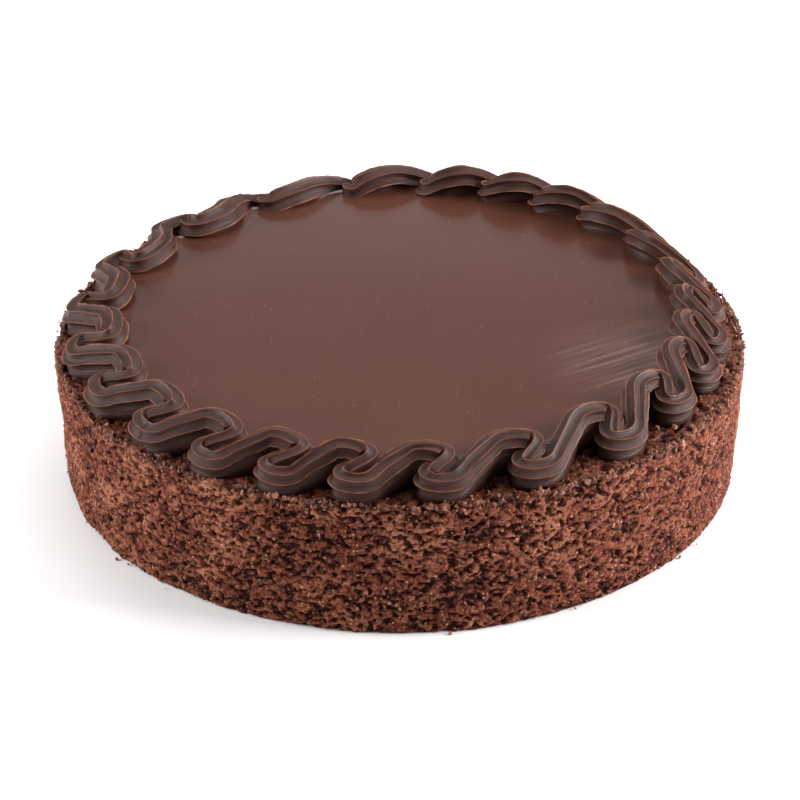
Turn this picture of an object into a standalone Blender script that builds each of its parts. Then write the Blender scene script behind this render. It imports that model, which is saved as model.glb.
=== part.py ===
"""Round chocolate cake: a bare sponge disc, a poured ganache top and a piped wave border round it.

Metres, +Z up. The origin is the centre of the underside, on the surface that the cake stands on.
The border is one rope of ganache from an open star nozzle, laid round the top in leaning S waves.
"""

import math

import bmesh
import bpy
import numpy as np
from mathutils import Vector, noise

# Sponge
TOP_RADIUS = 0.120
BASE_RADIUS = 0.1185
SPONGE_TOP = 0.0476
RIM_ROUNDING = 0.0025
FOOT_ROUNDING = 0.0015
SIDE_COLUMNS = 120
SIDE_ROWS = 9
CRAG_DEPTH = 0.0011
CRAG_SIZE = 0.011
CRAG_FLATNESS = 1.6
FINE_CRAG_SIZE = 0.45
BROAD_CRAG_SHARE = 0.6
FINE_CRAG_SHARE = 0.8
EDGE_CRAG_SHARE = 0.4

# Ring of piped ganache, as a path round the cake
WAVES = 24
RING_OFFSET = (-0.0022, 0.0)
RING_START = math.radians(-142.4)
# Sway of the pace round the ring: how many swings, how far, and where each is farthest on
PITCH_SWAY = (
    (1, math.radians(9.9), math.radians(29)),
    (2, math.radians(4.5), math.radians(-76)),
    (3, math.radians(1.2), math.radians(-108)),
    (4, math.radians(1.8), math.radians(64)),
)
STEPS_PER_WAVE = 40
FINE_STEPS = 40
BEND_SHARE = 0.006
PATH_STEP = 0.001
TIGHTEST_OFFSET = 0.9


def millimetres(*values):
    return tuple(value / 1000 for value in values)


def degrees(*values):
    return tuple(math.radians(value) for value in values)


# Shape of a wave at each station: front, right, back right, back, two at the back left, left
STATIONS = degrees(-90, 0, 60, 90, 112, 138, 180)
RING_RADIUS = millimetres(108.8, 106.5, 107.0, 106.5, 104.6, 101.2, 104.3)
WAVE_REACH = millimetres(5.6, 6.0, 5.0, 4.6, 5.0, 6.8, 6.0)
REACH_PHASE = degrees(-4, 0, 30, 45, 25, 0, 5)
WAVE_LEAN = millimetres(3.7, 2.8, 5.5, 7.5, 5.0, 2.2, 3.6)
WAVE_HOOK = millimetres(1.4, 1.2, 1.6, 2.0, 1.6, 1.2, 1.6)
WAVE_CURL = millimetres(4.8, 4.8, 4.2, 4.0, 4.2, 4.4, 4.6)
ROPE_MIDDLE = millimetres(54.8, 56.0, 55.8, 53.4, 53.2, 55.4, 54.6)
ROPE_LIFT = millimetres(3.1, 4.0, 5.6, 5.4, 3.4, 2.2, 3.2)
LIFT_PHASE = degrees(-4, -5, -20, -28, -20, -12, -12)
RIDGE_RADIUS = millimetres(4.2, 4.4, 5.6, 5.9, 5.7, 5.9, 5.3)
UNEVEN = 0.09
UNEVEN_SEED = 11

# Rope section from a star nozzle with eight teeth, seven of them above the foot
TEETH = 8
SHOWN_HALF_TEETH = 6
VALLEY_SHARE = 0.76
FOOT_SHARE = 0.86
BED_GAP = 0.0003

# Poured top
GLAZE_TOP = 0.0553
GLAZE_CLEARANCE = 0.0004
GLAZE_COLUMNS = 120
GLAZE_SHOULDER = 0.0022
MENISCUS = 0.0005
GLAZE_REACH = 0.0015
EDGE_STEPS_PER_WAVE = 60
WALL_STEPS = 5

SMOOTH_BELOW = math.radians(35)
SKIN_SIZE = 0.00040
SKIN_SHARE = 0.0139
SPONGE_COLOUR = (0.115, 0.042, 0.022, 1.0)
GANACHE_COLOUR = (0.040, 0.024, 0.019, 1.0)
GLAZE_COLOUR = (0.050, 0.025, 0.019, 1.0)
SPONGE_ROUGHNESS = 0.9
GANACHE_ROUGHNESS = 0.55
GLAZE_ROUGHNESS = 0.25


def clear_scene():
    for obj in list(bpy.data.objects):
        bpy.data.objects.remove(obj)


def material(name, colour, roughness):
    """A plain Principled finish in the part's own colour."""
    made = bpy.data.materials.new(name)
    made.use_nodes = True
    shader = made.node_tree.nodes["Principled BSDF"]
    shader.inputs["Base Color"].default_value = colour
    shader.inputs["Roughness"].default_value = roughness
    shader.inputs["Metallic"].default_value = 0.0
    return made


def add_object(name, points, faces, finish):
    mesh = bpy.data.meshes.new(name)
    mesh.from_pydata([tuple(p) for p in points], [], [tuple(f) for f in faces])
    mesh.materials.append(finish)
    mesh.update()
    obj = bpy.data.objects.new(name, mesh)
    bpy.context.scene.collection.objects.link(obj)
    return obj


def shade_smooth(obj):
    """Smooth shading that keeps the edges sharper than the given angle."""
    obj.data.polygons.foreach_set("use_smooth", [True] * len(obj.data.polygons))
    obj.data.set_sharp_from_angle(angle=SMOOTH_BELOW)


def ring_faces(rings, columns, closed_rings=False):
    """Quads between successive rings of the same number of points."""
    count = rings if closed_rings else rings - 1
    faces = []
    for i in range(count):
        here, there = i * columns, ((i + 1) % rings) * columns
        for j in range(columns):
            k = (j + 1) % columns
            faces.append((here + j, here + k, there + k, there + j))
    return faces


def sponge_profile():
    """Radius and height down the side, from the edge of the flat top to the foot."""
    rim = [
        (
            TOP_RADIUS - RIM_ROUNDING * (1 - math.sin(a)),
            SPONGE_TOP - RIM_ROUNDING * (1 - math.cos(a)),
        )
        for a in (math.radians(v) for v in (0, 35, 70))
    ]
    top, foot = SPONGE_TOP - RIM_ROUNDING, FOOT_ROUNDING
    side = [
        (
            TOP_RADIUS + (BASE_RADIUS - TOP_RADIUS) * row / SIDE_ROWS,
            top + (foot - top) * row / SIDE_ROWS,
        )
        for row in range(SIDE_ROWS + 1)
    ]
    return rim + side + [(BASE_RADIUS - FOOT_ROUNDING, 0.0)]


def crag(x, y, z):
    """How far the torn crumb stands out or in at a point, from two sizes of noise."""
    place = Vector((x, y, z * CRAG_FLATNESS)) / CRAG_SIZE
    broad = noise.noise(place)
    fine = noise.noise(place / FINE_CRAG_SIZE)
    return CRAG_DEPTH * (BROAD_CRAG_SHARE * broad + FINE_CRAG_SHARE * fine)


def build_sponge(finish):
    """A disc with craggy side and rim, flat on top and underneath."""
    profile = sponge_profile()
    points = []
    for row, (radius, height) in enumerate(profile):
        edge = row in (0, len(profile) - 1)
        for column in range(SIDE_COLUMNS):
            angle = 2 * math.pi * (column + 0.5 * (row % 2)) / SIDE_COLUMNS
            x, y = radius * math.cos(angle), radius * math.sin(angle)
            out = crag(x, y, height) * (EDGE_CRAG_SHARE if edge else 1.0)
            points.append((x * (1 + out / radius), y * (1 + out / radius), height))
    faces = ring_faces(len(profile), SIDE_COLUMNS)
    faces = [tuple(reversed(f)) for f in faces]
    faces.append(tuple(range(SIDE_COLUMNS)))
    last = (len(profile) - 1) * SIDE_COLUMNS
    faces.append(tuple(last + j for j in reversed(range(SIDE_COLUMNS))))
    return add_object("sponge", points, faces, finish)


def base_angle(turns):
    """Angle round the cake after a number of waves.

    The hand's pace sways, so the waves are wider at the back.
    """
    round_cake = 2 * np.pi * turns / WAVES
    angle = RING_START + round_cake
    for swings, amount, phase in PITCH_SWAY:
        angle = angle + amount * np.cos(swings * round_cake - phase)
    return angle


def uneven(phase, channel):
    """A hand's unevenness: a seeded value near 1 for each wave, eased from wave to wave."""
    values = 1 + UNEVEN * np.random.default_rng(UNEVEN_SEED + channel).uniform(-1, 1, WAVES)
    wave = phase / (2 * np.pi)
    here = np.floor(wave).astype(int)
    share = wave - here
    share = share * share * (3 - 2 * share)
    return values[here % WAVES] * (1 - share) + values[(here + 1) % WAVES] * share


def eased(values, azimuth):
    """A size between its values at the stations on either side of an angle round the cake."""
    values = np.array(values + values[:1])
    marks = np.array(STATIONS + (STATIONS[0] + 2 * np.pi,))
    azimuth = (azimuth - marks[0]) % (2 * np.pi) + marks[0]
    here = np.clip(np.searchsorted(marks, azimuth, side="right") - 1, 0, len(STATIONS) - 1)
    share = (azimuth - marks[here]) / (marks[here + 1] - marks[here])
    share = share * share * (3 - 2 * share)
    return values[here] + (values[here + 1] - values[here]) * share


def rope_path(phase):
    """Points of the rope's middle.

    Each wave is a long stroke that climbs inwards, a hook that turns over at the top, a short
    stroke back and outwards, and a low outer curl.
    """
    azimuth = base_angle(phase / (2 * np.pi))
    ring = eased(RING_RADIUS, azimuth)
    along = -eased(WAVE_LEAN, azimuth) * np.cos(phase) - eased(WAVE_HOOK, azimuth) * np.sin(phase)
    along += eased(WAVE_CURL, azimuth) * np.sin(2 * phase) * (1 - np.sin(phase)) / 2
    angle = azimuth + along * uneven(phase, 0) / ring
    reach = eased(WAVE_REACH, azimuth) * uneven(phase, 1)
    radius = ring + reach * np.cos(phase - eased(REACH_PHASE, azimuth))
    lift = eased(ROPE_LIFT, azimuth) * uneven(phase, 2)
    height = eased(ROPE_MIDDLE, azimuth) - lift * np.cos(phase - eased(LIFT_PHASE, azimuth))
    return np.stack(
        [
            radius * np.cos(angle) + RING_OFFSET[0],
            radius * np.sin(angle) + RING_OFFSET[1],
            height,
        ],
        axis=-1,
    )


def even_phases(start, end, count):
    """Phases of the sections from start to end, closer together where the path bends."""
    fine = np.linspace(start, end, int(FINE_STEPS * (end - start)) + 2)
    steps = np.diff(rope_path(fine), axis=0)
    length = np.linalg.norm(steps, axis=1)
    heading = np.unwrap(np.arctan2(steps[:, 1], steps[:, 0]))
    cost = np.concatenate([[0], np.cumsum(length + BEND_SHARE * np.abs(np.gradient(heading)))])
    return np.interp(np.linspace(0, cost[-1], count), cost, fine)


def star_section():
    """Corners of the section as shares of the ridge radius.

    The ridges with hollows between come first, then the two feet. Each corner is its sideways
    share, its upward share, and whether it is a foot.
    """
    step = math.pi / TEETH
    corners = []
    for half in range(-SHOWN_HALF_TEETH, SHOWN_HALF_TEETH + 1):
        share = VALLEY_SHARE if half % 2 else 1.0
        angle = math.pi / 2 + half * step
        corners.append((share * math.cos(angle), share * math.sin(angle), False))
    corners.append((-FOOT_SHARE, 0.0, True))
    corners.append((FOOT_SHARE, 0.0, True))
    return corners


def rope_frame(phases):
    """Middle, side direction and signed curvature of the path at each phase.

    The side direction points left of the travel.
    """
    before, here, after = (rope_path(phases + shift) for shift in (-PATH_STEP, 0.0, PATH_STEP))
    tangent = (after - before)[:, :2]
    speed = np.linalg.norm(tangent, axis=1, keepdims=True)
    tangent = tangent / speed
    bend = (after - 2 * here + before)[:, :2] / (speed / 2) ** 2
    side = np.stack([-tangent[:, 1], tangent[:, 0]], axis=1)
    curvature = np.sum(bend * side, axis=1)
    return here, side, curvature


def pinched(offset, curvature):
    """A sideways offset drawn in where it would cross the centre of a tight bend."""
    crossing = np.maximum(offset * curvature, 0) / TIGHTEST_OFFSET
    return offset / (1 + crossing**4) ** 0.25


def rope_rings(phases):
    """Corners of the rope's section at each phase, as an array of sections by corners by xyz."""
    bed = SPONGE_TOP + BED_GAP
    middle, side, curvature = rope_frame(phases)
    size = eased(RIDGE_RADIUS, base_angle(phases / (2 * np.pi))) * uneven(phases, 3)
    rings = []
    for out, up, foot in star_section():
        offset = pinched(out * size, curvature)
        corner = middle.copy()
        corner[:, :2] += side * offset[:, None]
        corner[:, 2] = bed if foot else np.maximum(middle[:, 2] + up * size, bed)
        rings.append(corner)
    return np.stack(rings, axis=1)


def melt(obj):
    """One skin over the whole rope where its strands run into each other, then thinned."""
    skin = obj.modifiers.new("skin", "REMESH")
    skin.mode = "VOXEL"
    skin.voxel_size = SKIN_SIZE
    thin = obj.modifiers.new("thin", "DECIMATE")
    thin.decimate_type = "COLLAPSE"
    thin.ratio = SKIN_SHARE
    thin.use_collapse_triangulate = True
    depsgraph = bpy.context.evaluated_depsgraph_get()
    mesh = bpy.data.meshes.new_from_object(obj.evaluated_get(depsgraph))
    obj.modifiers.clear()
    obj.data = mesh


def fill_pockets(obj):
    """Keep only the outer skin of a solid, so no pocket is left where strands of the rope meet."""
    bm = bmesh.new()
    bm.from_mesh(obj.data)
    unseen = set(bm.verts)
    skins = []
    while unseen:
        skin = set()
        edge = [unseen.pop()]
        while edge:
            vert = edge.pop()
            skin.add(vert)
            fresh = {link.other_vert(vert) for link in vert.link_edges} & unseen
            unseen -= fresh
            edge.extend(fresh)
        skins.append(skin)
    skins.sort(key=len)
    inner = [vert for skin in skins[:-1] for vert in skin]
    bmesh.ops.delete(bm, geom=inner, context="VERTS")
    bm.to_mesh(obj.data)
    bm.free()


def build_border(finish):
    phases = even_phases(0, 2 * np.pi * WAVES, WAVES * STEPS_PER_WAVE + 1)[:-1]
    rings = rope_rings(phases)
    sections, columns = rings.shape[:2]
    faces = ring_faces(sections, columns, closed_rings=True)
    border = add_object("border", rings.reshape(-1, 3), faces, finish)
    melt(border)
    fill_pockets(border)
    return border


def glaze_edge():
    """Radius of the pool's edge at each column, as far out as the ring's inner side allows."""
    rings = rope_rings(np.linspace(0, 2 * np.pi * WAVES, EDGE_STEPS_PER_WAVE * WAVES))
    following = np.roll(rings, -1, axis=1)
    shares = np.linspace(0, 1, WALL_STEPS)[:, None, None, None]
    points = (rings * (1 - shares) + following * shares).reshape(-1, 3)
    points = points[points[:, 2] < GLAZE_TOP + GLAZE_REACH]
    column = np.round(np.arctan2(points[:, 1], points[:, 0]) / (2 * np.pi) * GLAZE_COLUMNS).astype(int)
    nearest = np.full(GLAZE_COLUMNS, TOP_RADIUS)
    np.minimum.at(nearest, column % GLAZE_COLUMNS, np.hypot(points[:, 0], points[:, 1]))
    around = np.minimum(np.minimum(np.roll(nearest, 1), np.roll(nearest, -1)), nearest)
    return around - GLAZE_CLEARANCE


def build_glaze(finish):
    """The poured pool inside the ring, flat on top, with a lip that climbs a little at its edge."""
    edge = glaze_edge()
    angle = 2 * np.pi * np.arange(GLAZE_COLUMNS) / GLAZE_COLUMNS
    bottom = SPONGE_TOP + BED_GAP
    rows = ((GLAZE_SHOULDER, GLAZE_TOP), (0.0, GLAZE_TOP + MENISCUS), (0.0, bottom))
    points = []
    for inwards, height in rows:
        radius = edge - inwards
        level = np.full(GLAZE_COLUMNS, height)
        points.extend(zip(radius * np.cos(angle), radius * np.sin(angle), level))
    faces = [tuple(reversed(f)) for f in ring_faces(len(rows), GLAZE_COLUMNS)]
    faces.append(tuple(range(GLAZE_COLUMNS)))
    last = (len(rows) - 1) * GLAZE_COLUMNS
    faces.append(tuple(last + j for j in reversed(range(GLAZE_COLUMNS))))
    return add_object("glaze", points, faces, finish)


def main():
    clear_scene()
    crumb = material("crumb", SPONGE_COLOUR, SPONGE_ROUGHNESS)
    ganache = material("piped_ganache", GANACHE_COLOUR, GANACHE_ROUGHNESS)
    poured = material("poured_ganache", GLAZE_COLOUR, GLAZE_ROUGHNESS)
    for obj in (build_sponge(crumb), build_border(ganache), build_glaze(poured)):
        shade_smooth(obj)


main()
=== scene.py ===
"""The finished look of a round chocolate cake: sponge, loose crumbs, piped wave border and poured top.

Metres, +Z up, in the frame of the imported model. Every piece is a surface worked out on a grid with numpy.
"""

import math

import bpy
import numpy as np
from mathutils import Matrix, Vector


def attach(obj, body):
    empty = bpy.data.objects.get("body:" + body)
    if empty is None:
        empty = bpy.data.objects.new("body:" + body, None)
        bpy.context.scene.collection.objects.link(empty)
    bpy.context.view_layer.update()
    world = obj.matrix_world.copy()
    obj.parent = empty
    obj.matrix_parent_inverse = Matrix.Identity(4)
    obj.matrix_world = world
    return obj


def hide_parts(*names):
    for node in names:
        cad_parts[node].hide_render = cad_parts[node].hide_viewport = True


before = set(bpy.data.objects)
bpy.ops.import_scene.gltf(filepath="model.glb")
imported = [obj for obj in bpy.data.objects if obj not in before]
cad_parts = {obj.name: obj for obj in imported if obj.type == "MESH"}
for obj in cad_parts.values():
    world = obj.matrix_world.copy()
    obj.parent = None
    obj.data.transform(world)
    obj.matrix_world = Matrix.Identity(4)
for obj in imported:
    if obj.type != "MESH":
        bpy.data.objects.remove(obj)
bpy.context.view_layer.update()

# Sizes of the sponge
TOP_RADIUS = 0.120
BASE_RADIUS = 0.1185
SPONGE_TOP = 0.0476
RIM_ROUNDING = 0.0018
FOOT_ROUNDING = 0.0012
SPONGE_STEP = 0.00038
SHELF_RADIUS = 0.101
SHELF_EASING = 0.0025
SPONGE_TRIANGLES = 190000

# Crumb of the sponge: noise as depth, cell size and seed
CRUMB_NOISE = ((0.0005, 0.012, 41), (0.00030, 0.0016, 42), (0.00018, 0.0008, 43))
CREST_NOISE = ((0.0010, 0.0045, 44), (0.0008, 0.0019, 45))
CREST_HEIGHT = 0.002
CREST_WIDTH = 0.0025
PIT_DEPTH = 0.00140
WIDE_PIT = (0.0016, 0.0016, 0.00095)
FLAT_PIT = (0.0026, 0.0026, 0.0013)
SMALL_PIT = (0.0010, 0.0010, 0.0007)

# Loose grains on the side, along the top edge, on the shelf and at the foot
SIDE_GRAINS, CREST_GRAINS, SHELF_GRAINS, FOOT_GRAINS = 2600, 2000, 900, 26
LEAST_GRAIN = 0.0002
MOST_GRAIN = 0.0011

# Rope of the border: the same path as the solid's
WAVES = 24
RING_OFFSET = (-0.0022, 0.0)
RING_START = math.radians(-142.4)
PITCH_SWAY = (
    (1, math.radians(9.9), math.radians(29)),
    (2, math.radians(4.5), math.radians(-76)),
    (3, math.radians(1.2), math.radians(-108)),
    (4, math.radians(1.8), math.radians(64)),
)


def millimetres(*values):
    return tuple(value / 1000 for value in values)


def degrees(*values):
    return tuple(math.radians(value) for value in values)


# Shape of a wave at each station: front, right, back right, back, two at the back left, left
STATIONS = degrees(-90, 0, 60, 90, 112, 138, 180)
RING_RADIUS = millimetres(108.8, 106.5, 107.0, 106.5, 104.6, 101.2, 104.3)
WAVE_REACH = millimetres(5.6, 6.0, 5.0, 4.6, 5.0, 6.8, 6.0)
REACH_PHASE = degrees(-4, 0, 30, 45, 25, 0, 5)
WAVE_LEAN = millimetres(3.7, 2.8, 5.5, 7.5, 5.0, 2.2, 3.6)
WAVE_HOOK = millimetres(1.4, 1.2, 1.6, 2.0, 1.6, 1.2, 1.6)
WAVE_CURL = millimetres(4.8, 4.8, 4.2, 4.0, 4.2, 4.4, 4.6)
ROPE_MIDDLE = millimetres(54.8, 56.0, 55.8, 53.4, 53.2, 55.4, 54.6)
ROPE_LIFT = millimetres(3.1, 4.0, 5.6, 5.4, 3.4, 2.2, 3.2)
LIFT_PHASE = degrees(-4, -5, -20, -28, -20, -12, -12)
RIDGE_RADIUS = millimetres(4.2, 4.4, 5.6, 5.9, 5.7, 5.9, 5.3)
UNEVEN = 0.09
UNEVEN_SEED = 11
FOOT_SHARE = 0.86
LIFTED_FOOT_SHARE = 0.45
BED_GAP = 0.0003
FINE_STEPS = 40
BEND_SHARE = 0.006
SECTIONS = 1850
TIGHTEST_OFFSET = 0.9

# Section of the rope: a star of eight thin ridges with hollows between
TEETH = 8
SHOWN_RIDGES = 3
GROOVE_DEPTH = 0.26
GROOVE_POWER = 0.8
GROOVE_SAMPLES = (0.0, 0.05, 0.18, 0.50, 1.0)
GROOVE_CHANGE = 0.35
RIDGE_CHANGE = 0.05
RIDGE_RAGGEDNESS = 0.035
RIDGE_WANDER = 0.14
RIDGE_WIDTH = 0.16

# Sizes of the poured top
GLAZE_TOP = 0.0553
GLAZE_COLUMNS = 720
MENISCUS = 0.0005
MENISCUS_REACH = 0.0009
GLAZE_TUCK = 0.0016
WIDEST_POOL = 0.104
BRUSHED_CENTRE = (0.078, -0.036, 0.0553)
BRUSHED_ANGLE = math.radians(-32)

# Colours of the crumb, from the pits outwards: painted shade in the pits and holes, painted highlights on
# what stands out, and painted glints
# Painted shade: the colour of the deepest parts of the pits
PIT_SHADE = (0.028, 0.0055, 0.003, 1.0)
# Painted shade: the colour of the small holes, which are only dents in the bump
HOLE_SHADE = (0.038, 0.008, 0.004, 1.0)
CRUMB = (0.110, 0.0215, 0.0105, 1.0)
PALE_CRUMB = (0.190, 0.0475, 0.0255, 1.0)
# Painted highlight: the pale tan of small spots where the fine noise is low
PEAK_HIGHLIGHT = (0.36, 0.130, 0.070, 1.0)
# Painted highlight: the tan of the crumb that stands out above the surface
RAISED_HIGHLIGHT = (0.37, 0.140, 0.078, 1.0)
# Painted highlight: the colour of the small glints near the surface
GLINT = (0.46, 0.22, 0.13, 1.0)
WET = (0.085, 0.020, 0.008, 1.0)
DARK_GRAIN = (0.110, 0.034, 0.019, 1.0)
BROWN_GRAIN = (0.19, 0.066, 0.039, 1.0)
TOASTED_GRAIN = (0.34, 0.140, 0.078, 1.0)

# Colours of the ganache
ROPE = (0.034, 0.0110, 0.0068, 1.0)
PALE_ROPE = (0.049, 0.0175, 0.0115, 1.0)
DRAG_LINE = (0.092, 0.048, 0.038, 1.0)
# Painted highlight: the reddish line along the thin ridge edges of the rope
RIDGE_HIGHLIGHT = (0.235, 0.078, 0.043, 1.0)
POOL = (0.0700, 0.0235, 0.0145, 1.0)
PALE_POOL = (0.0735, 0.0250, 0.0155, 1.0)
DUST = (0.26, 0.17, 0.13, 1.0)
# Painted sheen: the pale grey of the brush streaks on the poured top
BRUSHED_SHEEN = (0.36, 0.29, 0.27, 1.0)

# Camera
LENS = 112.5
SENSOR = 36.0
ELEVATION = math.radians(28.94)
DISTANCE = 0.89076
AIM_HEIGHT = 0.0196


# Noise and meshes


def lattice_noise(points, size, seed):
    """Values from -1 to 1: seeded numbers at the corners of a lattice of cells, eased in between."""
    table = np.random.default_rng(seed).uniform(-1, 1, (64, 64, 64))
    place = points / np.asarray(size)
    base = np.floor(place).astype(np.int64)
    share = place - base
    share = share * share * share * (share * (share * 6 - 15) + 10)
    total = np.zeros(len(points))
    for corner in np.ndindex(2, 2, 2):
        index = (base + corner) & 63
        weight = np.prod(np.where(corner, share, 1 - share), axis=1)
        total += weight * table[index[:, 0], index[:, 1], index[:, 2]]
    return total


def smooth_step(low, high, value):
    """0 below low, 1 above high, and an eased climb between."""
    share = np.clip((value - low) / (high - low), 0, 1)
    return share * share * (3 - 2 * share)


def grid_faces(rows, columns, closed_rows=False):
    """Corner numbers of the quads of a grid whose columns close round on themselves."""
    count = rows if closed_rows else rows - 1
    here = np.arange(count)[:, None] * columns
    there = ((np.arange(count) + 1) % rows)[:, None] * columns
    j = np.arange(columns)[None, :]
    k = (j + 1) % columns
    return np.stack([here + j, here + k, there + k, there + j], axis=-1).reshape(-1, 4)


def fan_faces(ring, centre, outwards):
    """Corner numbers of the triangles between a closed ring and a centre point."""
    following = np.roll(ring, -1)
    middle = np.full(len(ring), centre)
    order = (ring, following, middle) if outwards else (following, ring, middle)
    return np.stack(order, axis=-1)


def build_mesh(name, points, quads, triangles=None, smooth=True):
    """A mesh from arrays of points, quads and triangles, smooth or faceted all over."""
    triangles = np.zeros((0, 3), np.int64) if triangles is None else triangles
    corners = np.concatenate([quads.ravel(), triangles.ravel()]).astype(np.int32)
    sizes = np.concatenate([np.full(len(quads), 4), np.full(len(triangles), 3)]).astype(np.int32)
    starts = np.concatenate([[0], np.cumsum(sizes)[:-1]]).astype(np.int32)
    mesh = bpy.data.meshes.new(name)
    mesh.vertices.add(len(points))
    mesh.vertices.foreach_set("co", np.ascontiguousarray(points, np.float32).ravel())
    mesh.loops.add(len(corners))
    mesh.loops.foreach_set("vertex_index", corners)
    mesh.polygons.add(len(sizes))
    mesh.polygons.foreach_set("loop_start", starts)
    mesh.polygons.foreach_set("use_smooth", np.full(len(sizes), smooth))
    mesh.update(calc_edges=True)
    return mesh


def place_piece(name, mesh, finish, node):
    """The mesh as a piece on the cake: it rides the body and stands in for a solid, which it hides."""
    piece = bpy.data.objects.new(name, mesh)
    bpy.context.scene.collection.objects.link(piece)
    piece.data.materials.append(finish)
    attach(piece, "root")
    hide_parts(node)
    return piece


def turned_mesh(name, points, rows, columns):
    """A closed round mesh: rings of points from the top down, then a centre point for top and bottom."""
    quads = grid_faces(rows, columns)[:, ::-1]
    top = fan_faces(np.arange(columns), rows * columns, outwards=True)
    bottom = fan_faces((rows - 1) * columns + np.arange(columns), rows * columns + 1, outwards=False)
    return build_mesh(name, points, quads, np.concatenate([top, bottom]))


def store_values(mesh, name, values):
    """One number for each point, which the finish reads by name."""
    layer = mesh.attributes.new(name, "FLOAT", "POINT")
    layer.data.foreach_set("value", np.ascontiguousarray(values, np.float32))


def mesh_points(mesh):
    flat = np.empty(len(mesh.vertices) * 3, np.float32)
    mesh.vertices.foreach_get("co", flat)
    return flat.reshape(-1, 3).astype(float)


# Rope


def base_angle(turns):
    """Angle round the cake after a number of waves, with the hand's pace swaying round the ring."""
    round_cake = 2 * np.pi * turns / WAVES
    angle = RING_START + round_cake
    for swings, amount, phase in PITCH_SWAY:
        angle = angle + amount * np.cos(swings * round_cake - phase)
    return angle


def uneven(phase, channel):
    """One seeded value near 1 for each wave, eased from wave to wave round the ring."""
    values = 1 + UNEVEN * np.random.default_rng(UNEVEN_SEED + channel).uniform(-1, 1, WAVES)
    wave = phase / (2 * np.pi)
    here = np.floor(wave).astype(int)
    share = wave - here
    share = share * share * (3 - 2 * share)
    return values[here % WAVES] * (1 - share) + values[(here + 1) % WAVES] * share


def eased(values, azimuth):
    """A size between its values at the stations on either side of an angle round the cake."""
    values = np.array(values + values[:1])
    marks = np.array(STATIONS + (STATIONS[0] + 2 * np.pi,))
    azimuth = (azimuth - marks[0]) % (2 * np.pi) + marks[0]
    here = np.clip(np.searchsorted(marks, azimuth, side="right") - 1, 0, len(STATIONS) - 1)
    share = (azimuth - marks[here]) / (marks[here + 1] - marks[here])
    share = share * share * (3 - 2 * share)
    return values[here] + (values[here + 1] - values[here]) * share


def rope_path(phase):
    """The rope's middle: a long stroke in and up, a hook at the top, a stroke back and a low outer curl."""
    azimuth = base_angle(phase / (2 * np.pi))
    ring = eased(RING_RADIUS, azimuth)
    along = -eased(WAVE_LEAN, azimuth) * np.cos(phase) - eased(WAVE_HOOK, azimuth) * np.sin(phase)
    along += eased(WAVE_CURL, azimuth) * np.sin(2 * phase) * (1 - np.sin(phase)) / 2
    angle = azimuth + along * uneven(phase, 0) / ring
    reach = eased(WAVE_REACH, azimuth) * uneven(phase, 1)
    radius = ring + reach * np.cos(phase - eased(REACH_PHASE, azimuth))
    lift = eased(ROPE_LIFT, azimuth) * uneven(phase, 2)
    height = eased(ROPE_MIDDLE, azimuth) - lift * np.cos(phase - eased(LIFT_PHASE, azimuth))
    across = radius * np.cos(angle) + RING_OFFSET[0]
    return np.stack([across, radius * np.sin(angle) + RING_OFFSET[1], height], axis=-1)


def rope_size(phases):
    """Distance from the rope's middle to its ridges."""
    return eased(RIDGE_RADIUS, base_angle(phases / (2 * np.pi))) * uneven(phases, 3)


def foot_share(height, size):
    """Width of the rope's foot as a share of its size: narrow where the rope arches over the pool."""
    lifted = smooth_step(0.0035, 0.0075, height - size * 0.7 - SPONGE_TOP)
    return FOOT_SHARE + (LIFTED_FOOT_SHARE - FOOT_SHARE) * lifted


def even_phases(count):
    """Phases of the sections once round the ring, closer together where the path bends."""
    whole = 2 * np.pi * WAVES
    fine = np.linspace(0, whole, int(FINE_STEPS * whole) + 2)
    steps = np.diff(rope_path(fine), axis=0)
    length = np.linalg.norm(steps, axis=1)
    heading = np.unwrap(np.arctan2(steps[:, 1], steps[:, 0]))
    cost = np.concatenate([[0], np.cumsum(length + BEND_SHARE * np.abs(np.gradient(heading)))])
    phases = np.interp(np.linspace(0, cost[-1], count + 1), cost, fine)[:-1]
    travelled = np.interp(phases, fine, np.concatenate([[0], np.cumsum(length)]))
    return phases, travelled


def rope_frame(phases):
    """Middle, sideways direction and bend of the path; sideways points left of the travel."""
    delta = 1e-3
    before, here, after = rope_path(phases - delta), rope_path(phases), rope_path(phases + delta)
    tangent = (after - before)[:, :2]
    speed = np.linalg.norm(tangent, axis=1, keepdims=True)
    tangent = tangent / speed
    bend = (after - 2 * here + before)[:, :2] / (speed / 2) ** 2
    side = np.stack([-tangent[:, 1], tangent[:, 0]], axis=1)
    return here, side, np.sum(bend * side, axis=1)


def pinched(offset, bend):
    """A sideways offset drawn in where it would cross the centre of a tight bend."""
    crossing = np.maximum(offset * bend, 0) / TIGHTEST_OFFSET
    return offset / (1 + crossing**4) ** 0.25


def star_columns():
    """Angle, depth in the groove from 0 at a ridge to 1 midway, and tooth number of each column."""
    half = np.pi / TEETH
    angle, depth, tooth = [], [], []
    for number in range(-SHOWN_RIDGES, SHOWN_RIDGES):
        for share in GROOVE_SAMPLES[:-1]:
            angle.append((2 * number + share) * half)
            depth.append(share)
            tooth.append(number)
        for share in GROOVE_SAMPLES[:0:-1]:
            angle.append((2 * number + 2 - share) * half)
            depth.append(share)
            tooth.append(number + 1)
    angle.append(2 * SHOWN_RIDGES * half)
    depth.append(0.0)
    tooth.append(SHOWN_RIDGES)
    return np.pi / 2 + np.array(angle), np.array(depth), np.array(tooth)


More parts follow.
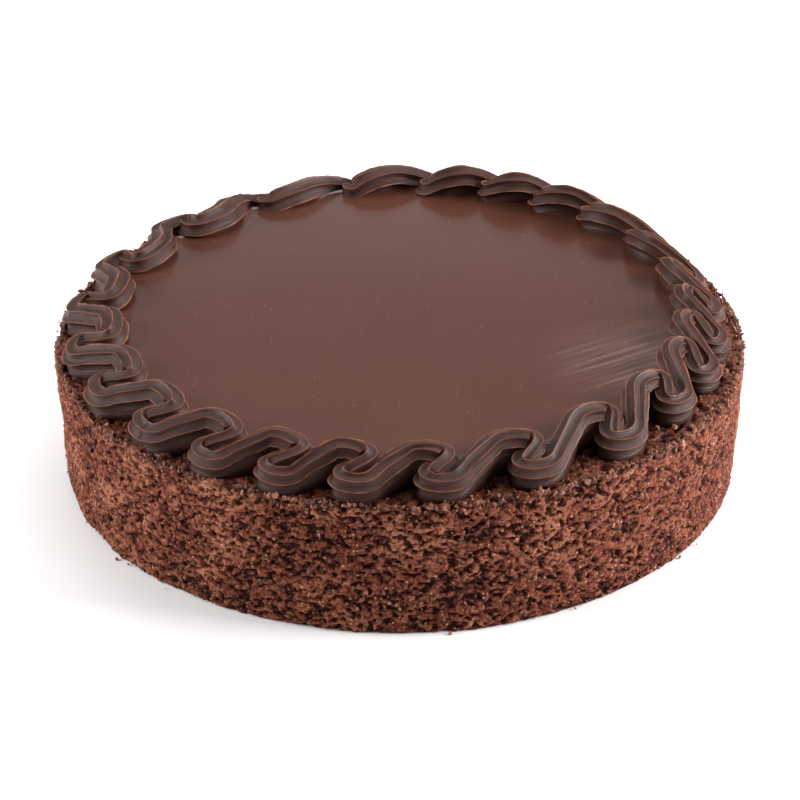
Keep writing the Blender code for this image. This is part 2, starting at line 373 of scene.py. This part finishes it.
def ridge_noise(travelled, angle, tooth, length, seed):
    """Noise along each ridge by the distance travelled, with its own values for each tooth."""
    rows, columns = len(travelled), len(angle)
    spots = np.stack(
        [
            np.repeat(travelled[:, None], columns, 1),
            np.repeat(tooth[None, :] * 0.01, rows, 0),
            np.repeat(angle[None, :] * 0.004, rows, 0),
        ],
        axis=-1,
    ).reshape(-1, 3)
    return lattice_noise(spots, (length, 0.004, 10.0), seed).reshape(rows, columns)


def border_values(mesh, columns, size, travelled, ragged):
    """What the finish reads: how near a ridge, and how far along and round the rope a point is."""
    angle, depth, tooth = columns
    rows, whole = len(size), len(angle) + 3
    # The ridge values drive a painted highlight along the ridge edges
    ridge = np.zeros((rows, whole))
    shown = np.abs(tooth) < SHOWN_RIDGES
    ridge[:, : len(angle)] = np.where(shown, np.clip(1 - depth / RIDGE_WIDTH, 0, 1), 0.0)[None, :]
    ridge[:, : len(angle)] *= 1 + 0.5 * ragged
    round_rope = np.tile(np.concatenate([angle, [angle[-1] + 0.5, 5.0, angle[0] - 0.5]]), rows)
    store_values(mesh, "ridge", ridge.ravel())
    store_values(mesh, "along", np.repeat(travelled[:, None], whole, 1).ravel())
    store_values(mesh, "across", round_rope * np.repeat(size, whole))


def build_border(finish):
    """Rope of ganache: the star section carried along the path, with ragged ridges and a foot on the bed."""
    phases, travelled = even_phases(SECTIONS)
    middle, side, bend = rope_frame(phases)
    size = rope_size(phases)
    angle, depth, tooth = star_columns()
    rows, columns = len(phases), len(angle)
    ragged = ridge_noise(travelled, angle, tooth, 0.0014, 21)
    slow = ridge_noise(travelled, angle, tooth, 0.012, 22)
    wander = ridge_noise(travelled, angle, tooth, 0.017, 23)
    groove = (2 * depth - depth**2) ** GROOVE_POWER
    tip = (1 - depth[None, :]) ** 3
    share = 1 - GROOVE_DEPTH * groove[None, :] * (1 + GROOVE_CHANGE * slow)
    share = share + tip * (RIDGE_RAGGEDNESS * ragged + RIDGE_CHANGE * slow)
    from_top = np.clip((angle - np.pi / 2) * TEETH / (2 * SHOWN_RIDGES), -np.pi / 2, np.pi / 2)
    turned = angle[None, :] + RIDGE_WANDER * wander * np.cos(from_top)[None, :]
    offset = pinched(np.cos(turned) * share * size[:, None], bend[:, None])
    points = np.empty((rows, columns + 3, 3))
    points[:, :columns, :2] = middle[:, None, :2] + side[:, None, :] * offset[..., None]
    points[:, :columns, 2] = middle[:, None, 2] + np.sin(turned) * share * size[:, None]
    bed = SPONGE_TOP + BED_GAP
    foot = foot_share(middle[:, 2], size) * size
    for column, out in ((columns, -1.0), (columns + 1, 0.0), (columns + 2, 1.0)):
        points[:, column, :2] = middle[:, :2] + side * pinched(out * foot, bend)[:, None]
        points[:, column, 2] = bed
    points[..., 2] = np.maximum(points[..., 2], bed)
    quads = grid_faces(rows, columns + 3, closed_rows=True)[:, ::-1]
    mesh = build_mesh("border_finish", points.reshape(-1, 3), quads)
    border_values(mesh, (angle, depth, tooth), size, travelled, ragged)
    return place_piece("border_finish", mesh, finish, "border")


# Sponge


def sponge_profile():
    """Radius, height and outward direction down the outside, from the shelf to the foot."""
    rim_arc = np.linspace(0, np.pi / 2, int(RIM_ROUNDING * np.pi / 2 / SPONGE_STEP) + 2)
    shelf = np.arange(SHELF_RADIUS, TOP_RADIUS - RIM_ROUNDING, SPONGE_STEP)
    side_top, side_foot = SPONGE_TOP - RIM_ROUNDING, FOOT_ROUNDING
    side = np.linspace(side_top, side_foot, int((side_top - side_foot) / SPONGE_STEP))[1:]
    foot_arc = np.linspace(0, np.pi / 2, 5)[1:]
    radius = np.concatenate(
        [
            shelf,
            TOP_RADIUS - RIM_ROUNDING * (1 - np.sin(rim_arc)),
            BASE_RADIUS + (TOP_RADIUS - BASE_RADIUS) * side / side_top,
            BASE_RADIUS - FOOT_ROUNDING * (1 - np.cos(foot_arc)),
        ]
    )
    height = np.concatenate(
        [
            np.full(len(shelf), SPONGE_TOP),
            SPONGE_TOP - RIM_ROUNDING * (1 - np.cos(rim_arc)),
            side,
            FOOT_ROUNDING * (1 - np.sin(foot_arc)),
        ]
    )
    lean = np.concatenate(
        [
            np.zeros(len(shelf)),
            rim_arc,
            np.full(len(side), np.pi / 2),
            np.pi / 2 + foot_arc,
        ]
    )
    return radius, height, np.sin(lean), np.cos(lean)


def pore_depth(places):
    """Pits of the torn crumb: two sizes of flattened noise, cut off so that only the peaks go in."""
    wide = lattice_noise(places, WIDE_PIT, 31)
    wide += 0.7 * lattice_noise(places + 0.01, FLAT_PIT, 32)
    small = lattice_noise(places, SMALL_PIT, 33)
    return PIT_DEPTH * smooth_step(-0.02, 0.42, 0.75 * wide + 0.30 * small)


def layered_noise(places, layers):
    """The sum of noises, each given as its depth, cell size and seed."""
    return sum(depth * lattice_noise(places, size, seed) for depth, size, seed in layers)


def build_sponge(finish):
    """Sponge disc: its profile turned round the axis, pitted along its outward direction, then thinned."""
    radius, height, out, up = sponge_profile()
    columns = int(2 * np.pi * TOP_RADIUS / SPONGE_STEP)
    rows = len(radius)
    angle = 2 * np.pi * np.arange(columns) / columns
    spots = np.empty((rows, columns, 3))
    spots[..., 0] = radius[:, None] * np.cos(angle)
    spots[..., 1] = radius[:, None] * np.sin(angle)
    spots[..., 2] = height[:, None]
    places = spots.reshape(-1, 3)
    moved = (layered_noise(places, CRUMB_NOISE) - pore_depth(places)).reshape(rows, columns)
    below, away = (height - SPONGE_TOP) / CREST_HEIGHT, (radius - TOP_RADIUS) / CREST_WIDTH
    crest = np.exp(-(below**2)) * np.exp(-(away**2))
    moved = moved + crest[:, None] * layered_noise(places, CREST_NOISE).reshape(rows, columns)
    level_inside = smooth_step(SHELF_RADIUS, SHELF_RADIUS + SHELF_EASING, radius)
    moved = moved * np.where(height > SPONGE_TOP / 2, level_inside, 1.0)[:, None]
    moved[-1] = 0.0
    ring = radius[:, None] + moved * out[:, None]
    points = np.empty((rows * columns + 2, 3))
    body = points[:-2].reshape(rows, columns, 3)
    body[..., 0] = ring * np.cos(angle)
    body[..., 1] = ring * np.sin(angle)
    body[..., 2] = np.maximum(height[:, None] + moved * up[:, None], 0.0)
    points[-2] = (0.0, 0.0, SPONGE_TOP - 0.001)
    points[-1] = (0.0, 0.0, 0.0)
    mesh = turned_mesh("sponge_finish", points, rows, columns)
    piece = place_piece("sponge_finish", mesh, finish, "sponge")
    thin(piece, SPONGE_TRIANGLES / (2 * (rows - 1) * columns + 2 * columns))
    left = mesh_points(piece.data)
    reach = np.hypot(left[:, 0], left[:, 1])
    wall = BASE_RADIUS + (TOP_RADIUS - BASE_RADIUS) * left[:, 2] / SPONGE_TOP
    inside = np.minimum(wall - reach, SPONGE_TOP - left[:, 2])
    store_values(piece.data, "depth", inside)
    return piece


def thin(piece, share):
    """Keep a share of the triangles, fewest where the surface is plain."""
    fewer = piece.modifiers.new("fewer", "DECIMATE")
    fewer.ratio = share
    fewer.use_collapse_triangulate = True
    depsgraph = bpy.context.evaluated_depsgraph_get()
    mesh = bpy.data.meshes.new_from_object(piece.evaluated_get(depsgraph))
    piece.modifiers.clear()
    piece.data = mesh
    mesh.polygons.foreach_set("use_smooth", np.ones(len(mesh.polygons), bool))


# Loose crumbs


def icosahedron():
    """Corners and faces of a unit icosahedron."""
    golden = (1 + 5**0.5) / 2
    corners = []
    for a in (-1, 1):
        for b in (-golden, golden):
            corners += [(0, a, b), (a, b, 0), (b, 0, a)]
    corners = np.array(corners, float)
    corners /= np.linalg.norm(corners[0])
    gaps = np.linalg.norm(corners[:, None] - corners[None], axis=-1)
    near = gaps < 1.2 * gaps[gaps > 0.1].min()
    faces = [
        (i, j, k)
        for i in range(12)
        for j in range(i + 1, 12)
        for k in range(j + 1, 12)
        if near[i, j] and near[j, k] and near[i, k]
    ]
    turned = []
    for i, j, k in faces:
        normal = np.cross(corners[j] - corners[i], corners[k] - corners[i])
        turned.append((i, j, k) if normal @ corners[i] > 0 else (i, k, j))
    return corners, np.array(turned)


def scatter_grains(name, centres, sizes, seed, finish):
    """One piece of many lumpy grains: an icosahedron each, knocked out of shape, stretched and turned."""
    rng = np.random.default_rng(seed)
    corners, faces = icosahedron()
    count = len(centres)
    turn = rng.normal(size=(count, 3, 3))
    turn, _ = np.linalg.qr(turn)
    turn[np.linalg.det(turn) < 0] *= -1
    stretch = sizes[:, None] * rng.uniform(0.4, 1.4, (count, 3))
    lumps = corners[None] * rng.uniform(0.6, 1.35, (count, 12, 1)) * stretch[:, None, :]
    lumps = np.einsum("nij,nkj->nki", turn, lumps) + centres[:, None, :]
    triangles = (faces[None] + 12 * np.arange(count)[:, None, None]).reshape(-1, 3)
    mesh = build_mesh(name, lumps.reshape(-1, 3), np.zeros((0, 4), np.int64), triangles, smooth=False)
    store_values(mesh, "shade", np.repeat(rng.uniform(0, 1, count), 12))
    return place_piece(name, mesh, finish, "sponge")


def build_crumbs(finish):
    """Loose grains: most on the side, a band along the top edge, some on the shelf and a few at the foot."""
    rng = np.random.default_rng(71)
    angle = rng.uniform(0, 2 * np.pi, SIDE_GRAINS + CREST_GRAINS + SHELF_GRAINS + FOOT_GRAINS)
    height = np.concatenate(
        [
            rng.uniform(0.001, SPONGE_TOP - 0.002, SIDE_GRAINS),
            SPONGE_TOP - np.abs(rng.normal(0, 0.0018, CREST_GRAINS)) + 0.0003,
            np.full(SHELF_GRAINS, SPONGE_TOP + 0.0001),
            np.full(FOOT_GRAINS, 0.0004),
        ]
    )
    radius = np.concatenate(
        [
            np.full(SIDE_GRAINS, TOP_RADIUS - 0.0003),
            TOP_RADIUS - 0.0012 + rng.normal(0, 0.0007, CREST_GRAINS),
            rng.uniform(0.108, TOP_RADIUS - 0.001, SHELF_GRAINS),
            BASE_RADIUS + np.abs(rng.normal(0, 0.0016, FOOT_GRAINS)),
        ]
    )
    side_lean = (TOP_RADIUS - BASE_RADIUS) * (1 - height / SPONGE_TOP)
    radius[:SIDE_GRAINS] -= side_lean[:SIDE_GRAINS]
    sizes = LEAST_GRAIN + 0.00020 * rng.gamma(2.0, 0.6, len(angle))
    sizes[SIDE_GRAINS : SIDE_GRAINS + CREST_GRAINS] *= 1.25
    sizes = np.minimum(sizes, MOST_GRAIN)
    centres = np.stack([radius * np.cos(angle), radius * np.sin(angle), height], axis=-1)
    centres[:, 2] = np.maximum(centres[:, 2], sizes * 0.6)
    return scatter_grains("crumbs", centres, sizes, 72, finish)


# Poured top


def glaze_outline(columns):
    """Radius at which the pool meets the rope at each column, from the innermost points of the rope."""
    phases = np.linspace(0, 2 * np.pi * WAVES, 60 * WAVES, endpoint=False)
    middle, side, bend = rope_frame(phases)
    size = rope_size(phases)
    wide = size * (0.35 + 0.58 * foot_share(middle[:, 2], size) / FOOT_SHARE)
    rim = [middle[:, :2] + side * pinched(out * wide, bend)[:, None] for out in (-1.0, 1.0)]
    rim = np.concatenate(rim)
    column = np.round(np.arctan2(rim[:, 1], rim[:, 0]) / (2 * np.pi) * columns).astype(int) % columns
    edge = np.full(columns, WIDEST_POOL)
    np.minimum.at(edge, column, np.hypot(rim[:, 0], rim[:, 1]))
    for _ in range(3):
        edge = (np.roll(edge, 1) + edge * 2 + np.roll(edge, -1)) / 4
    return edge


def build_glaze(finish):
    """Poured pool: level, with a lip that climbs where it meets the rope, and an edge tucked in under it."""
    columns = GLAZE_COLUMNS
    edge = glaze_outline(columns)
    angle = 2 * np.pi * np.arange(columns) / columns
    inwards = np.array([0.088, 0.07, 0.05, 0.03, 0.018, 0.010, 0.0070, 0.0052, 0.0040])
    inwards = np.concatenate([inwards, np.linspace(0.0032, -0.0008, 14)])
    lip = MENISCUS * np.exp(-np.maximum(inwards, 0) / MENISCUS_REACH)
    bottom = SPONGE_TOP + 0.0001
    tucked = np.stack([edge + GLAZE_TUCK, edge + GLAZE_TUCK])
    radius = np.concatenate([edge[None, :] - inwards[:, None], tucked])
    height = np.concatenate([GLAZE_TOP + lip, [GLAZE_TOP, bottom]])
    rows = len(radius)
    points = np.empty((rows * columns + 2, 3))
    body = points[:-2].reshape(rows, columns, 3)
    body[..., 0] = radius * np.cos(angle)
    body[..., 1] = radius * np.sin(angle)
    body[..., 2] = height[:, None]
    points[-2] = (0.0, 0.0, GLAZE_TOP)
    points[-1] = (0.0, 0.0, bottom)
    mesh = turned_mesh("glaze_finish", points, rows, columns)
    return place_piece("glaze_finish", mesh, finish, "glaze")


# Finishes


def add_node(tree, kind, inputs=None, **settings):
    """A node with its settings, and inputs given as numbers, colours or other nodes' sockets."""
    made = tree.nodes.new(kind)
    for key, value in settings.items():
        setattr(made, key, value)
    for key, value in (inputs or {}).items():
        if isinstance(value, bpy.types.NodeSocket):
            tree.links.new(value, made.inputs[key])
        else:
            made.inputs[key].default_value = value
    return made


def mix_colour(tree, share, first, second):
    return add_node(tree, "ShaderNodeMix", {0: share, 6: first, 7: second}, data_type="RGBA").outputs[2]


def arithmetic(tree, how, first, second=0.0):
    return add_node(tree, "ShaderNodeMath", {0: first, 1: second}, operation=how).outputs[0]


def ramp(tree, value, low, high, start=0.0, end=1.0):
    """An eased climb from start to end while the value goes from low to high."""
    limits = {"Value": value, "From Min": low, "From Max": high, "To Min": start, "To Max": end}
    return add_node(tree, "ShaderNodeMapRange", limits, interpolation_type="SMOOTHSTEP").outputs[0]


def effect_group(name, inputs, outputs):
    """An empty node group with named sockets; returns it with its input and output nodes."""
    group = bpy.data.node_groups.new(name, "ShaderNodeTree")
    for label, kind in inputs:
        group.interface.new_socket(label, in_out="INPUT", socket_type=kind)
    for label, kind in outputs:
        group.interface.new_socket(label, in_out="OUTPUT", socket_type=kind)
    return group, group.nodes.new("NodeGroupInput"), group.nodes.new("NodeGroupOutput")


def mottle_group():
    """Two colours mixed by soft noise, with the share of the second set by its level."""
    group, given, result = effect_group(
        "mottle",
        (
            ("Place", "NodeSocketVector"),
            ("Scale", "NodeSocketFloat"),
            ("Level", "NodeSocketFloat"),
            ("First", "NodeSocketColor"),
            ("Second", "NodeSocketColor"),
        ),
        (("Colour", "NodeSocketColor"), ("Mask", "NodeSocketFloat")),
    )
    settings = {"Vector": given.outputs["Place"], "Scale": given.outputs["Scale"], "Detail": 4.0}
    noise = add_node(group, "ShaderNodeTexNoise", settings)
    raised = arithmetic(group, "ADD", noise.outputs[0], given.outputs["Level"])
    mask = ramp(group, raised, 0.40, 0.62)
    colour = mix_colour(group, mask, given.outputs["First"], given.outputs["Second"])
    group.links.new(colour, result.inputs["Colour"])
    group.links.new(mask, result.inputs["Mask"])
    return group


def speck_group():
    """Scattered small spots: cells whose own number passes the rarity, shown near the cell's middle."""
    group, given, result = effect_group(
        "specks",
        (
            ("Place", "NodeSocketVector"),
            ("Scale", "NodeSocketFloat"),
            ("Rarity", "NodeSocketFloat"),
            ("Spread", "NodeSocketFloat"),
        ),
        (("Mask", "NodeSocketFloat"),),
    )
    cells = add_node(
        group, "ShaderNodeTexVoronoi", {"Vector": given.outputs["Place"], "Scale": given.outputs["Scale"]}
    )
    number = add_node(group, "ShaderNodeSeparateColor", {0: cells.outputs["Color"]})
    chosen = arithmetic(group, "GREATER_THAN", number.outputs[0], given.outputs["Rarity"])
    gap = arithmetic(group, "DIVIDE", cells.outputs["Distance"], given.outputs["Spread"])
    spot = ramp(group, gap, 0.6, 1.0, 1.0, 0.0)
    group.links.new(arithmetic(group, "MULTIPLY", chosen, spot), result.inputs["Mask"])
    return group


def place_group(tree, group, inputs):
    return add_node(tree, "ShaderNodeGroup", inputs, node_tree=group)


def new_finish(name):
    """A material with its node tree, its shader and Object coordinates."""
    made = bpy.data.materials.new(name)
    made.use_nodes = True
    tree = made.node_tree
    place = add_node(tree, "ShaderNodeTexCoord").outputs["Object"]
    return made, tree, tree.nodes["Principled BSDF"], place


def read_value(tree, name):
    return add_node(tree, "ShaderNodeAttribute", attribute_name=name).outputs["Fac"]


def connect(tree, shader, sockets):
    for key, socket in sockets.items():
        tree.links.new(socket, shader.inputs[key])


def crumb_finish(mottle, specks):
    """Torn sponge: painted shade, red and dark, in the pits and holes, painted tan highlights on what stands
    out, painted glints near the surface, and wet and dark on the shelf.
    """
    made, tree, shader, place = new_finish("crumb")
    depth = read_value(tree, "depth")
    height = add_node(tree, "ShaderNodeSeparateXYZ", {0: place}).outputs["Z"]
    settings = {"Place": place, "Scale": 420.0, "Level": 0.02, "First": CRUMB, "Second": PALE_CRUMB}
    face = place_group(tree, mottle, settings)
    # Painted highlight: tan on what stands out above the surface
    raised = ramp(tree, depth, 0.0002, -0.0008)
    crumb = mix_colour(tree, raised, face.outputs["Colour"], RAISED_HIGHLIGHT)
    # Painted shade: darker the deeper a point lies in a pit
    crumb = mix_colour(tree, ramp(tree, depth, 0.0003, 0.0011), crumb, PIT_SHADE)
    fine = add_node(tree, "ShaderNodeTexNoise", {"Vector": place, "Scale": 900.0, "Detail": 2.0}).outputs[0]
    hole = ramp(tree, fine, 0.53, 0.61)
    # Painted shade: dark in the small holes where the fine noise is high
    crumb = mix_colour(tree, arithmetic(tree, "MULTIPLY", hole, 0.8), crumb, HOLE_SHADE)
    # Painted highlight: pale tan where the fine noise is low
    crumb = mix_colour(tree, ramp(tree, fine, 0.44, 0.34, 0.0, 0.45), crumb, PEAK_HIGHLIGHT)
    # Painted glints: small pale specks near the surface
    painted_glints = place_group(tree, specks, {"Place": place, "Scale": 900.0, "Rarity": 0.90, "Spread": 0.42})
    outer = ramp(tree, depth, 0.0009, 0.0002)
    crumb = mix_colour(tree, arithmetic(tree, "MULTIPLY", painted_glints.outputs["Mask"], outer), crumb, GLINT)
    shelf = ramp(tree, height, SPONGE_TOP - 0.0016, SPONGE_TOP - 0.0005)
    crumb = mix_colour(tree, shelf, crumb, mix_colour(tree, 0.6, crumb, WET))
    rough = arithmetic(tree, "SUBTRACT", 0.88, arithmetic(tree, "MULTIPLY", shelf, 0.6))
    grit = add_node(tree, "ShaderNodeTexNoise", {"Vector": place, "Scale": 1500.0, "Detail": 3.0})
    rise = arithmetic(tree, "SUBTRACT", grit.outputs[0], hole)
    bump = add_node(tree, "ShaderNodeBump", {"Strength": 0.8, "Distance": 0.0004, "Height": rise})
    connect(tree, shader, {"Base Color": crumb, "Roughness": rough, "Normal": bump.outputs[0]})
    shader.inputs["Specular IOR Level"].default_value = 0.22
    return made


def grain_finish(mottle):
    """Loose crumbs: each its own shade from dark brown to toasted orange."""
    made, tree, shader, place = new_finish("loose_crumb")
    settings = {"Place": place, "Scale": 600.0, "Level": 0.0, "First": DARK_GRAIN, "Second": BROWN_GRAIN}
    dark = place_group(tree, mottle, settings)
    toasted = ramp(tree, read_value(tree, "shade"), 0.35, 0.95)
    colour = mix_colour(tree, toasted, dark.outputs["Colour"], TOASTED_GRAIN)
    grit = add_node(tree, "ShaderNodeTexNoise", {"Vector": place, "Scale": 1800.0, "Detail": 2.0})
    bump = add_node(tree, "ShaderNodeBump", {"Strength": 0.6, "Distance": 0.0003, "Height": grit.outputs[0]})
    connect(tree, shader, {"Base Color": colour, "Normal": bump.outputs[0]})
    shader.inputs["Roughness"].default_value = 0.75
    return made


def ganache_finish(mottle):
    """Piped ganache: brown satin, with a painted reddish highlight along the thin ridge edges, and fine drag
    lines along the rope.
    """
    made, tree, shader, place = new_finish("piped_ganache")
    along = arithmetic(tree, "MULTIPLY", read_value(tree, "along"), 90.0)
    across = arithmetic(tree, "MULTIPLY", read_value(tree, "across"), 3200.0)
    drawn_out = add_node(tree, "ShaderNodeCombineXYZ", {"X": along, "Y": across}).outputs[0]
    lines = add_node(tree, "ShaderNodeTexNoise", {"Vector": drawn_out, "Scale": 1.0, "Detail": 3.0})
    settings = {"Place": place, "Scale": 160.0, "Level": 0.0, "First": ROPE, "Second": PALE_ROPE}
    face = place_group(tree, mottle, settings)
    streak = ramp(tree, lines.outputs[0], 0.35, 0.7)
    colour = mix_colour(tree, arithmetic(tree, "MULTIPLY", streak, 0.35), face.outputs["Colour"], DRAG_LINE)
    # Painted highlight: reddish along the ridge edges
    edge = ramp(tree, read_value(tree, "ridge"), 0.20, 0.95, 0.0, 0.85)
    colour = mix_colour(tree, edge, colour, RIDGE_HIGHLIGHT)
    rough = arithmetic(tree, "ADD", 0.42, arithmetic(tree, "MULTIPLY", streak, 0.12))
    drag = add_node(tree, "ShaderNodeBump", {"Strength": 0.8, "Distance": 0.0004, "Height": lines.outputs[0]})
    connect(tree, shader, {"Base Color": colour, "Roughness": rough, "Normal": drag.outputs[0]})
    shader.inputs["Specular IOR Level"].default_value = 0.24
    return made


def glaze_finish(mottle, specks):
    """Poured ganache: smooth dark satin with specks of dust and a brushed patch with a painted pale sheen."""
    made, tree, shader, place = new_finish("poured_ganache")
    settings = {"Place": place, "Scale": 28.0, "Level": 0.0, "First": POOL, "Second": PALE_POOL}
    base = place_group(tree, mottle, settings)
    dust = place_group(tree, specks, {"Place": place, "Scale": 300.0, "Rarity": 0.45, "Spread": 0.10})
    dusty = arithmetic(tree, "MULTIPLY", dust.outputs["Mask"], 0.45)
    colour = mix_colour(tree, dusty, base.outputs["Colour"], DUST)
    brush_streaks_and_sheen = brush_streak_and_sheen_mask(tree, place)
    # Painted sheen on real brush streaks: paler as well as rougher
    colour = mix_colour(tree, arithmetic(tree, "MULTIPLY", brush_streaks_and_sheen, 0.20), colour, BRUSHED_SHEEN)
    rough = arithmetic(tree, "ADD", 0.22, arithmetic(tree, "MULTIPLY", brush_streaks_and_sheen, 0.10))
    connect(tree, shader, {"Base Color": colour, "Roughness": rough})
    shader.inputs["Specular IOR Level"].default_value = 0.45
    return made


def brush_streak_and_sheen_mask(tree, place):
    """Brush streaks with a painted pale sheen: noise drawn out along the stroke, within a soft round patch.
    """
    offset = add_node(tree, "ShaderNodeVectorMath", {0: place, 1: BRUSHED_CENTRE}, operation="SUBTRACT")
    reach = add_node(tree, "ShaderNodeVectorMath", {0: offset.outputs[0]}, operation="LENGTH")
    near = ramp(tree, reach.outputs["Value"], 0.006, 0.036, 1.0, 0.0)
    turn = {"Vector": place, "Angle": BRUSHED_ANGLE}
    along = add_node(tree, "ShaderNodeVectorRotate", turn, rotation_type="Z_AXIS").outputs[0]
    drawn = add_node(tree, "ShaderNodeVectorMath", {0: along, 1: (22.0, 480.0, 1.0)}, operation="MULTIPLY")
    lines = add_node(tree, "ShaderNodeTexNoise", {"Vector": drawn.outputs[0], "Scale": 1.0, "Detail": 3.0})
    return arithmetic(tree, "MULTIPLY", near, ramp(tree, lines.outputs[0], 0.32, 0.76))


def floor_finish():
    """Matt white paper."""
    made, tree, shader, place = new_finish("paper")
    fibre = add_node(tree, "ShaderNodeTexNoise", {"Vector": place, "Scale": 60.0, "Detail": 2.0})
    tone = mix_colour(tree, fibre.outputs[0], (0.90, 0.90, 0.90, 1.0), (0.92, 0.92, 0.92, 1.0))
    connect(tree, shader, {"Base Color": tone})
    shader.inputs["Roughness"].default_value = 1.0
    shader.inputs["Specular IOR Level"].default_value = 0.0
    return made


# Room


def build_floor():
    """A pale floor, which isn't part of the cake."""
    half = 3.0
    corners = np.array([(-half, -half, 0), (half, -half, 0), (half, half, 0), (-half, half, 0)])
    mesh = build_mesh("floor", corners - (0, 0, 0.0001), np.array([[0, 1, 2, 3]]))
    floor = bpy.data.objects.new("floor", mesh)
    bpy.context.scene.collection.objects.link(floor)
    floor.data.materials.append(floor_finish())


def add_panel(name, place, aim, size, power):
    """A soft rectangular light that faces a point."""
    light = bpy.data.lights.new(name, "AREA")
    light.shape = "RECTANGLE"
    light.size, light.size_y = size
    light.energy = power
    panel = bpy.data.objects.new(name, light)
    bpy.context.scene.collection.objects.link(panel)
    panel.location = place
    panel.rotation_euler = (Vector(aim) - Vector(place)).to_track_quat("-Z", "Y").to_euler()


def light_room():
    world = bpy.data.worlds.new("room")
    bpy.context.scene.world = world
    world.use_nodes = True
    sky = world.node_tree.nodes["Background"]
    sky.inputs[0].default_value = (1.0, 1.0, 1.0, 1.0)
    sky.inputs[1].default_value = 0.19
    add_panel("back_panel", (0.0, 0.75, 1.05), (0, 0.02, 0.03), (1.1, 0.4), 6.5)
    add_panel("low_back_panel", (0.0, 1.45, 0.54), (0, 0, 0.05), (1.3, 0.30), 0.8)
    add_panel("top_panel", (0.0, 0.1, 1.4), (0, 0, 0), (1.2, 1.0), 5)
    add_panel("left_panel", (-1.3, -0.1, 0.6), (0, 0, 0.03), (0.9, 0.7), 24)
    add_panel("right_panel", (1.3, 0.0, 0.6), (0, 0, 0.03), (0.9, 0.7), 42)
    bpy.context.scene.view_settings.view_transform = "Standard"


def add_camera():
    """The photograph's view: a long lens, straight from the front and about 29 degrees above the table."""
    camera = bpy.data.cameras.new("camera")
    camera.lens = LENS
    camera.sensor_width = SENSOR
    camera.clip_start = 0.01
    holder = bpy.data.objects.new("camera", camera)
    bpy.context.scene.collection.objects.link(holder)
    holder.location = (0.0, -math.cos(ELEVATION) * DISTANCE, AIM_HEIGHT + math.sin(ELEVATION) * DISTANCE)
    holder.rotation_euler = (math.pi / 2 - ELEVATION, 0.0, 0.0)
    bpy.context.scene.camera = holder


add_camera()
light_room()
build_floor()
mottle = mottle_group()
specks = speck_group()
build_sponge(crumb_finish(mottle, specks))
build_crumbs(grain_finish(mottle))
build_border(ganache_finish(mottle))
build_glaze(glaze_finish(mottle, specks))
